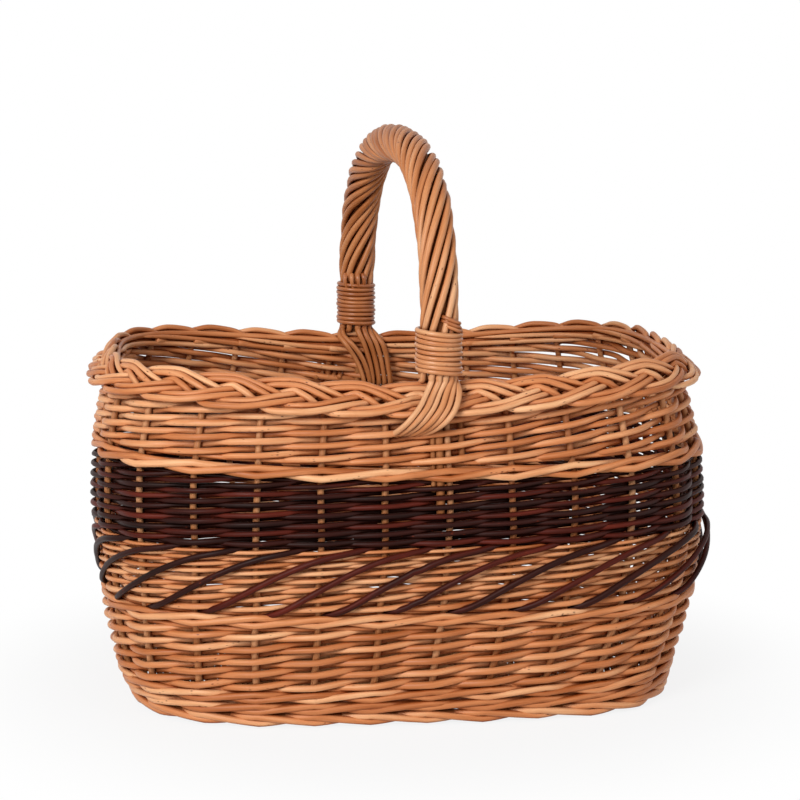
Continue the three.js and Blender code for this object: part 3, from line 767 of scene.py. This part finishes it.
bow_end_radius = 0.0028
bow_shares = [0, 0.5, 0.7, 0.89, 1]
bow_radii = [0.0074, 0.0081, 0.0085, 0.0084, 0.0070]
bow_end_share = 0.004
bow_swell_share = 0.035
bow_head_above_border = 0.004
bow_leg_steps = 12
bow_depth = 0.063
bow_beside_stake = 0.0055
leg_out = 0.0017
leg_length = 0.019
arch_rise = 0.1225
arch_power = 2.5
arch_lean = 0.0018
arch_steps = 801
tangent_reach = 0.002
binding_above_border = 0.006
near_leg = -bow_beside_stake / stake_spacing
far_leg = near_leg + stake_count / 2
border_top = rim_height + border_above_rim + border_half_width * np.sin(border_tilt)
binding_foot = border_top + binding_above_border
spring_height = binding_foot + leg_length
near_rim = wall_point(near_leg, rim_height, 0) * [1, 1, 0]
half_span = np.linalg.norm(near_rim) + leg_out
out_near = unit(near_rim)
side_near = np.cross(up, out_near)

# The line of the handle: straight legs, and an arch that leans a little to the right.
arch_turns = np.linspace(0, np.pi, arch_steps)
arch_level = signed_power(np.cos(arch_turns), 2 / arch_power)
arch_up = spring_height + signed_power(np.sin(arch_turns), 2 / arch_power) * arch_rise
arch = out_near * (arch_level * half_span)[:, None] + up * arch_up[:, None]
arch[:, 0] += arch_lean * (arch_up - binding_foot) / (arch_rise + leg_length)
near_end, far_end = (end * out_near * half_span + up * binding_foot for end in (1, -1))
handle_line = np.array([near_end, *arch, far_end])
handle_lengths = lengths_along(handle_line)
handle_length = handle_lengths[-1]


def handle_at(length):
    """Points in the middle of the handle, at lengths along it from the near leg."""
    length = np.clip(length, 0, handle_length)
    return np.stack([np.interp(length, handle_lengths, values) for values in handle_line.T], -1)


def handle_frame(share):
    """Middle of the handle and its outward side, at shares of its length."""
    length = share * handle_length
    direction = unit(handle_at(length + tangent_reach) - handle_at(length - tangent_reach))
    return handle_at(length), unit(np.cross(side_near, direction))


def bow_leg(leg):
    """The bow's end in the wall, from its foot up to the middle of the handle."""
    height = np.linspace(rim_height - bow_depth, rim_height, bow_leg_steps)
    wall = wall_point(leg, height, 0)
    head = unit(wall[-1] * [1, 1, 0]) * half_span + up * (border_top + bow_head_above_border)
    return np.concatenate([wall, [head]])


handle_bow = []
shares = np.linspace(bow_end_share, 1 - bow_end_share, 90)
middle = handle_at(shares * handle_length)
swell = np.clip(np.minimum(shares, 1 - shares) / bow_swell_share, 0, 1)
thickness = bow_end_radius + (np.interp(shares, bow_shares, bow_radii) - bow_end_radius) * swell
lay_rod(handle_bow, np.concatenate([bow_leg(near_leg), middle, bow_leg(far_leg)[::-1]]),
        np.pad(thickness, bow_leg_steps + 1, constant_values=bow_end_radius), side_near)

# The thin rods beside the bow: their leg, how far aside they stand, their feet and radii.
side_rods = [
    (near_leg, -0.0042, 0.158, 0.0018),
    (near_leg, 0.0139, 0.176, 0.0019),
    (far_leg, -0.0050, 0.160, 0.0018),
    (far_leg, -0.0110, 0.170, 0.0019),
]
side_rod_head = 0.214
for leg, aside, foot, radius in side_rods:
    line = wall_point(leg + aside / stake_spacing, np.linspace(foot, side_rod_head, 12), 0)
    lay_rod(handle_bow, line, radius, up * 0.2 + side_near)
rods_piece("bow_rod", handle_bow, base_willow, ["handle_bow"], sides=14)


# The handle's rods. Eleven buffed rods lie along the bow and turn about three times round it,
# faster over the top than on the legs. On each leg some of them pass outside the border and
# the others inside, and they are tucked into the wall.

# Handle willow: the same buffed rods, a shade paler and pinker where hands have rubbed them.
# The fourth colour is the painted shade in the seams between the rods.
handle_willow = willow("buffed_willow_handle", "#9d5828", "#c5804f", "#dca87c", "#6c2806",
                       roughness=0.42, grain_depth=0.00014, spread=0.26)

wound_rod_count = 11
wound_steps = 150
wound_shares = [0, 0.07, 0.12, 0.5, 0.7, 0.89, 0.94, 1]
wound_orbits = [0.0100, 0.0100, 0.0102, 0.0104, 0.0112, 0.0112, 0.0101, 0.0100]
wound_radii = [0.00222, 0.00225, 0.00226, 0.00232, 0.00242, 0.00242, 0.00232, 0.00224]
# Tone along the handle: paler on the near leg, darker over the top and on the far leg.
wound_tones = [0.80, 0.72, 0.66, 0.22, 0.24, 0.26, 0.24, 0.22]
wound_tone_spread = 0.36
wound_spread = 0.10
wound_foot_radius = 0.00196
wound_tip_share = 0.92
wound_sway = 0.09
wound_waver = 0.0004

# How fast the rods turn along the handle, in radians over its whole length.
turn_shares = [0, 0.2, 0.3, 0.45, 0.6, 0.78, 0.9, 1]
turn_rates = [13, 18, 21, 21, 21, 20, 15.4, 13]

# The rods' places round the bow, as gaps between neighbours, and their angles where they go
# under the bindings, into which they ease over a share of the handle's length.
wound_start = 0.22
wound_gaps = np.array([1, 0.93, 1.1, 0.95, 1.05, 0.92, 1.08, 0.95, 1.02, 1.22, 0.93])
near_slots = np.radians([12, 36, 60, 88, 122, 158, 194, 232, 272, 322, 348])
far_slots = -np.radians([4, 332, 300, 266, 236, 206, 176, 140, 100, 78, 40])
slot_share = 0.13

# The feet of the rods below the binding, as fans of rods. The rows give the drop from the
# binding, the distance out from the middle of the wall, and the places aside of the first and
# the last rod of the fan, to the right of the leg as seen from outside.
outer_fan = [
    [0.0030, 0.0090, 0.0175, 0.0240, 0.0290, 0.0325, 0.0358, 0.0390],
    [0.0080, 0.0122, 0.0172, 0.0192, 0.0172, 0.0130, 0.0070, -0.0020],
    [-0.0066, -0.0096, -0.0148, -0.0204, -0.0244, -0.0270, -0.0292, -0.0312],
    [0.0120, 0.0108, 0.0076, 0.0032, -0.0014, -0.0050, -0.0094, -0.0140],
]
inner_drops = [0.0025, 0.0070, 0.0130, 0.0220, 0.0320, 0.0420, 0.0460]
inner_fan = [
    inner_drops,
    [-0.0088, -0.0108, -0.0104, -0.0094, -0.0088, -0.0070, -0.0010],
    [-0.0134, -0.0154, -0.0177, -0.0207, -0.0225, -0.0242, -0.0245],
    [-0.0008, -0.0020, -0.0041, -0.0071, -0.0096, -0.0111, -0.0114],
]
inner_wide = [
    inner_drops,
    [-0.0088, -0.0106, -0.0110, -0.0098, -0.0090, -0.0070, -0.0010],
    [-0.0104, -0.0110, -0.0120, -0.0140, -0.0162, -0.0180, -0.0184],
    [0.0104, 0.0098, 0.0086, 0.0060, 0.0030, 0.0004, 0.0000],
]
inner_pair = [
    inner_drops,
    [-0.0030, -0.0086, -0.0110, -0.0106, -0.0098, -0.0078, -0.0010],
    [0.0128, 0.0110, 0.0053, -0.0014, -0.0058, -0.0085, -0.0090],
    [0.0168, 0.0152, 0.0097, 0.0036, -0.0012, -0.0044, -0.0050],
]
wall_turn_aside = 0.096
foot_ease = 0.011
foot_stagger = 0.0004


def eased(share):
    """A share kept between nought and one, with a soft start and end."""
    share = np.clip(share, 0, 1)
    return share**2 * (3 - 2 * share)


def rod_foot(angle, end, fan, place, stagger, sweep):
    """The foot of a wound rod, from its place under the binding down into the wall."""
    drop, out, first, last = np.pad(fan, ((0, 0), (1, 0)))
    start_out = leg_out + wound_orbits[0] * np.cos(angle)
    start_side = wound_orbits[0] * np.sin(angle)
    side = sweep * (first + (last - first) * place)
    out = out + stagger + wall_turn_aside * side
    ease = eased(drop / foot_ease)
    drop, out, side = smooth_line(np.stack([
        drop, start_out + (out - start_out) * ease, start_side + (side - start_side) * ease,
    ], -1), 5).T
    point = end * (out_near * (half_span - leg_out + out)[:, None] + side_near * side[:, None])
    return point + up * (binding_foot - drop)[:, None]


def feet_of_leg(angles, end, groups):
    """The feet of all the wound rods on one leg. Each group of rods shares a fan, which is
    turned the other way round where its sweep is -1."""
    feet = [None] * wound_rod_count
    for fan, rods, sweep in groups:
        for number, rod in enumerate(rods):
            stagger = foot_stagger * (1 if number % 2 else -1)
            feet[rod] = rod_foot(angles[rod], end, fan, number / (len(rods) - 1), stagger, sweep)
    return feet


handle_rods = []
along = np.linspace(0, 1, wound_steps)
middle, outward = handle_frame(along)
rates = np.interp(along, turn_shares, turn_rates)
twist = np.concatenate([[0], np.cumsum((rates[1:] + rates[:-1]) / 2)]) * along[1]
slot_angles = wound_start + 2 * np.pi * (np.cumsum(wound_gaps) - wound_gaps[0]) / wound_gaps.sum()
slot_shift = np.angle(np.exp(1j * (far_slots - slot_angles - twist[-1])))
near_feet = feet_of_leg(near_slots, 1, [
    (outer_fan, [9, 10, 0, 1, 2, 3], 1), (inner_wide, [8, 7, 6, 5, 4], 1)])
far_feet = feet_of_leg(-far_slots, -1, [
    (outer_fan, [7, 10, 0, 1, 2], -1), (inner_fan, [3, 4, 5, 6], 1), (inner_pair, [8, 9], 1)])
free = np.sin(np.pi * along)
top_radius = np.interp(along, wound_shares, wound_radii)
top_tone = np.interp(along, wound_shares, wound_tones)
tip_radius = wound_foot_radius * wound_tip_share
for rod in range(wound_rod_count):
    sway = wound_sway * np.sin(np.linspace(0, 15, wound_steps) + phase_span * hand.random()) * free
    slot = near_slots[rod] + (slot_angles[rod] - near_slots[rod]) * eased(along / slot_share)
    angle = slot + twist + sway + slot_shift[rod] * eased((along - 1 + slot_share) / slot_share)
    waver = wound_waver * np.sin(np.linspace(0, 26, wound_steps) + phase_span * hand.random()) * free
    orbit = np.interp(along, wound_shares, wound_orbits) + waver
    spoke = outward * np.cos(angle)[:, None] + side_near * np.sin(angle)[:, None]
    feet = near_feet[rod][1:], far_feet[rod][1:]
    near_taper, far_taper = (
        np.interp(np.arange(len(foot)), [0, 10, len(foot) - 1], [top, wound_foot_radius, tip_radius])
        for foot, top in zip(feet, top_radius[[0, -1]]))
    line = np.concatenate([feet[0][::-1], middle + spoke * orbit[:, None], feet[1]])
    on_feet = (len(feet[0]), len(feet[1]))
    hint = np.pad(spoke, (on_feet, (0, 0)), "edge")
    thick = own_thickness(wound_spread)
    radius = np.concatenate([near_taper[::-1], top_radius, far_taper]) * thick
    tone = np.pad(top_tone, on_feet, "edge") + wound_tone_spread * (hand.random() - 0.5)
    lay_rod(handle_rods, line, radius, hint, tone)
rods_piece("wound_rods", handle_rods, handle_willow,
           [f"handle_rod_{number}" for number in range(1, 9)])


# The bindings. A thin shiny rod is wound tightly round each leg over the wound rods, nine
# turns on the near leg and ten on the far one. On the far leg four rod tips are bent over the
# top turn and tucked under it, and on the near leg a small tie holds a few wound rods.

binding_radius = 0.00158
binding_swell = 0.07
orbit_waver, long_waver, short_waver = 0.00022, 0.00025, 0.00018

# Binding rod: a thin buffed rod, skeined smooth, with more gloss than the thick ones.
# The fourth colour is the painted shade in the seams between the rods.
binding_willow = willow("buffed_willow_binding", "#945026", "#bf7848", "#d9a172", "#6c2a08",
                        roughness=0.34, grain_depth=0.00010, gloss=0.40, spread=0.24)


def leg_point(end, out, side, height):
    """A point beside a leg: distance out and aside of its middle, and height."""
    place = out_near * (half_span + np.asarray(out))[:, None] + side_near * np.asarray(side)[:, None]
    return end * place + up * np.asarray(height)[:, None]


def wind(rods, end, orbit, turns, pitch, hidden, tilt, tone):
    """A rod wound round one leg of the handle. It starts and ends on the hidden side."""
    turn = hidden + np.linspace(0, 2 * np.pi * turns, int(turns * 28) + 1)
    orbit = orbit + orbit_waver * np.sin(1.3 * turn + hand.random())
    uneven = long_waver * np.sin(0.83 * turn + 2) + short_waver * np.sin(2.1 * turn)
    side = -orbit * np.sin(turn)
    climb = pitch * (turn - hidden) / (2 * np.pi)
    height = binding_foot + binding_radius + climb + uneven - tilt * side
    line = leg_point(end, orbit * np.cos(turn), side, height)
    spoke = end * (out_near * np.cos(turn)[:, None] - side_near * np.sin(turn)[:, None])
    lay_rod(rods, line, binding_radius * (1 + binding_swell * np.sin(0.7 * turn)), spoke, tone)


near_binding = []
# The near binding is given a paler tone than the far one.
wind(near_binding, 1, orbit=0.0136, turns=9, pitch=0.00305, hidden=np.pi, tilt=0.055, tone=0.65)

# The tie: a little over two slanting turns, and the tail that hangs from them.
tie_tone = 0.1
tie_turns = np.linspace(-0.6, 4.4 * np.pi, 70)
tie_side, tie_out, tie_height = 0.0060, 0.0060, 0.2622
tie_reach, tie_radius, tie_pitch, tie_slope = 0.0058, 0.00125, 0.0025, 0.50
side = tie_side + tie_reach * np.sin(tie_turns)
out = tie_out + tie_reach * np.cos(tie_turns)
height = tie_height + tie_pitch * tie_turns / (2 * np.pi) - tie_slope * (side - tie_side)
lay_rod(near_binding, leg_point(1, out, side, height), tie_radius, up, tie_tone)
tail_outs = [0.0035, 0.0045, 0.0040, 0.0030]
tail_sides = [0.0120, 0.0133, 0.0131, 0.0122]
tail_heights = [0.2625, 0.2600, 0.2575, 0.2545]
tail = smooth_line(leg_point(1, tail_outs, tail_sides, tail_heights), 5)
lay_rod(near_binding, tail, tie_radius, up, tie_tone)
rods_piece("near_binding_rod", near_binding, binding_willow, ["near_binding"])

far_binding = []
far_turns, far_pitch = 10, 0.00310
wind(far_binding, -1, 0.0131, far_turns, far_pitch, hidden=0, tilt=0.0, tone=0.1)

# The bent-over tips: their rise over the binding's head, distance out, thickness and turn.
binding_head = binding_foot + far_turns * far_pitch
tip_rises = np.array([-0.0030, 0.0000, 0.0032, 0.0062, 0.0082, 0.0078])
tip_orbits = np.array([0.0117, 0.0131, 0.0137, 0.0134, 0.0120, 0.0104])
tip_radii = np.array([0.0010, 0.0012, 0.0016, 0.0019, 0.0019, 0.0016])
tip_turns = np.array([0.06, 0.03, 0, -0.02, -0.05, -0.09])
radii = np.interp(np.linspace(0, 5, 26), np.arange(6), tip_radii)
for side in (0.0098, 0.0054, 0.0008, -0.0040):
    turn = np.pi - np.arcsin(side / tip_orbits[2]) + tip_turns
    tip = leg_point(-1, tip_orbits * np.cos(turn), tip_orbits * np.sin(turn), binding_head + tip_rises)
    lay_rod(far_binding, smooth_line(tip, 5), radii, up + side_near)
rods_piece("far_binding_rod", far_binding, binding_willow, ["far_binding"])


# The studio. White paper under soft light from the front left, the right and above, in a
# white room that is seen by the camera and in reflections, and lights the basket dimly.

def seen_ray(tree):
    """One where a ray comes from the camera, a reflection or a clear material, else nought."""
    path = add_node(tree, "ShaderNodeLightPath")
    clear = add_node(tree, "ShaderNodeMath", {
        0: path.outputs["Is Glossy Ray"], 1: path.outputs["Is Transmission Ray"]}, operation="MAXIMUM")
    return add_node(tree, "ShaderNodeMath", {
        0: path.outputs["Is Camera Ray"], 1: clear}, operation="MAXIMUM")


# Matt white paper: it takes a faint shadow of the basket, and is plain white further off.
white_paper = bpy.data.materials.new("white_paper")
tree = emptied_tree(white_paper)
paper = add_node(tree, "ShaderNodeBsdfDiffuse", {"Color": linear("#dedede")})
white = add_node(tree, "ShaderNodeEmission", {"Color": linear("#ffffff"), "Strength": 1.0})
place = add_node(tree, "ShaderNodeNewGeometry").outputs["Position"]
distance = add_node(tree, "ShaderNodeVectorMath", {0: place}, operation="LENGTH").outputs["Value"]
far = add_node(tree, "ShaderNodeMapRange", {
    "Value": distance, "From Min": 0.18, "From Max": 0.36, "To Min": 0.86},
    interpolation_type="SMOOTHSTEP")
seen = add_node(tree, "ShaderNodeMath", {0: far, 1: seen_ray(tree)}, operation="MULTIPLY")
mixed = add_node(tree, "ShaderNodeMixShader", {0: seen, 1: paper, 2: white})
add_node(tree, "ShaderNodeOutputMaterial", {"Surface": mixed})

floor_half = 6.0
floor_corners = [(-1, -1), (1, -1), (1, 1), (-1, 1)]
floor_mesh = bpy.data.meshes.new("floor")
floor_mesh.from_pydata(
    [(x * floor_half, y * floor_half, 0) for x, y in floor_corners], [], [(0, 1, 2, 3)])
floor_mesh.materials.append(white_paper)
floor = add_object("floor", floor_mesh)

world = bpy.data.worlds.new("studio")
bpy.context.scene.world = world
tree = emptied_tree(world)
dim, plain = (add_node(tree, "ShaderNodeBackground", {
    "Color": linear("#ffffff"), "Strength": strength}) for strength in (0.20, 1.0))
mixed = add_node(tree, "ShaderNodeMixShader", {0: seen_ray(tree), 1: dim, 2: plain})
add_node(tree, "ShaderNodeOutputWorld", {"Surface": mixed})


def stand_at(thing, place, target):
    """Stands a lamp or the camera at a place, turned to a target."""
    thing.location = place
    thing.rotation_mode = "QUATERNION"
    thing.rotation_quaternion = (Vector(target) - Vector(place)).to_track_quat("-Z", "Y")


def softbox(name, place, target, size, power):
    """A square soft lamp that points at a target."""
    lamp = bpy.data.lights.new(name, "AREA")
    lamp.shape = "SQUARE"
    lamp.size = size
    lamp.energy = power
    stand_at(add_object(name, lamp), place, target)


softbox("key", place=(-1.25, -1.75, 1.10), target=(0, 0, 0.14), size=0.9, power=46)
softbox("fill", place=(1.4, -1.2, 0.8), target=(0, 0, 0.12), size=1.2, power=9)
softbox("top", place=(-0.2, 0.2, 2.0), target=(0, 0, 0.1), size=1.2, power=3)

# The camera stands where the photograph was taken from, a little above the rim.
camera = bpy.data.cameras.new("camera")
camera.sensor_width = 36
camera.lens = 96.2
eye = add_object("camera", camera)
stand_at(eye, place=(-0.154, -1.467, 0.421), target=(0.0053, 0.0075, 0.1933))
bpy.context.scene.camera = eye
bpy.context.scene.view_settings.view_transform = "Standard"
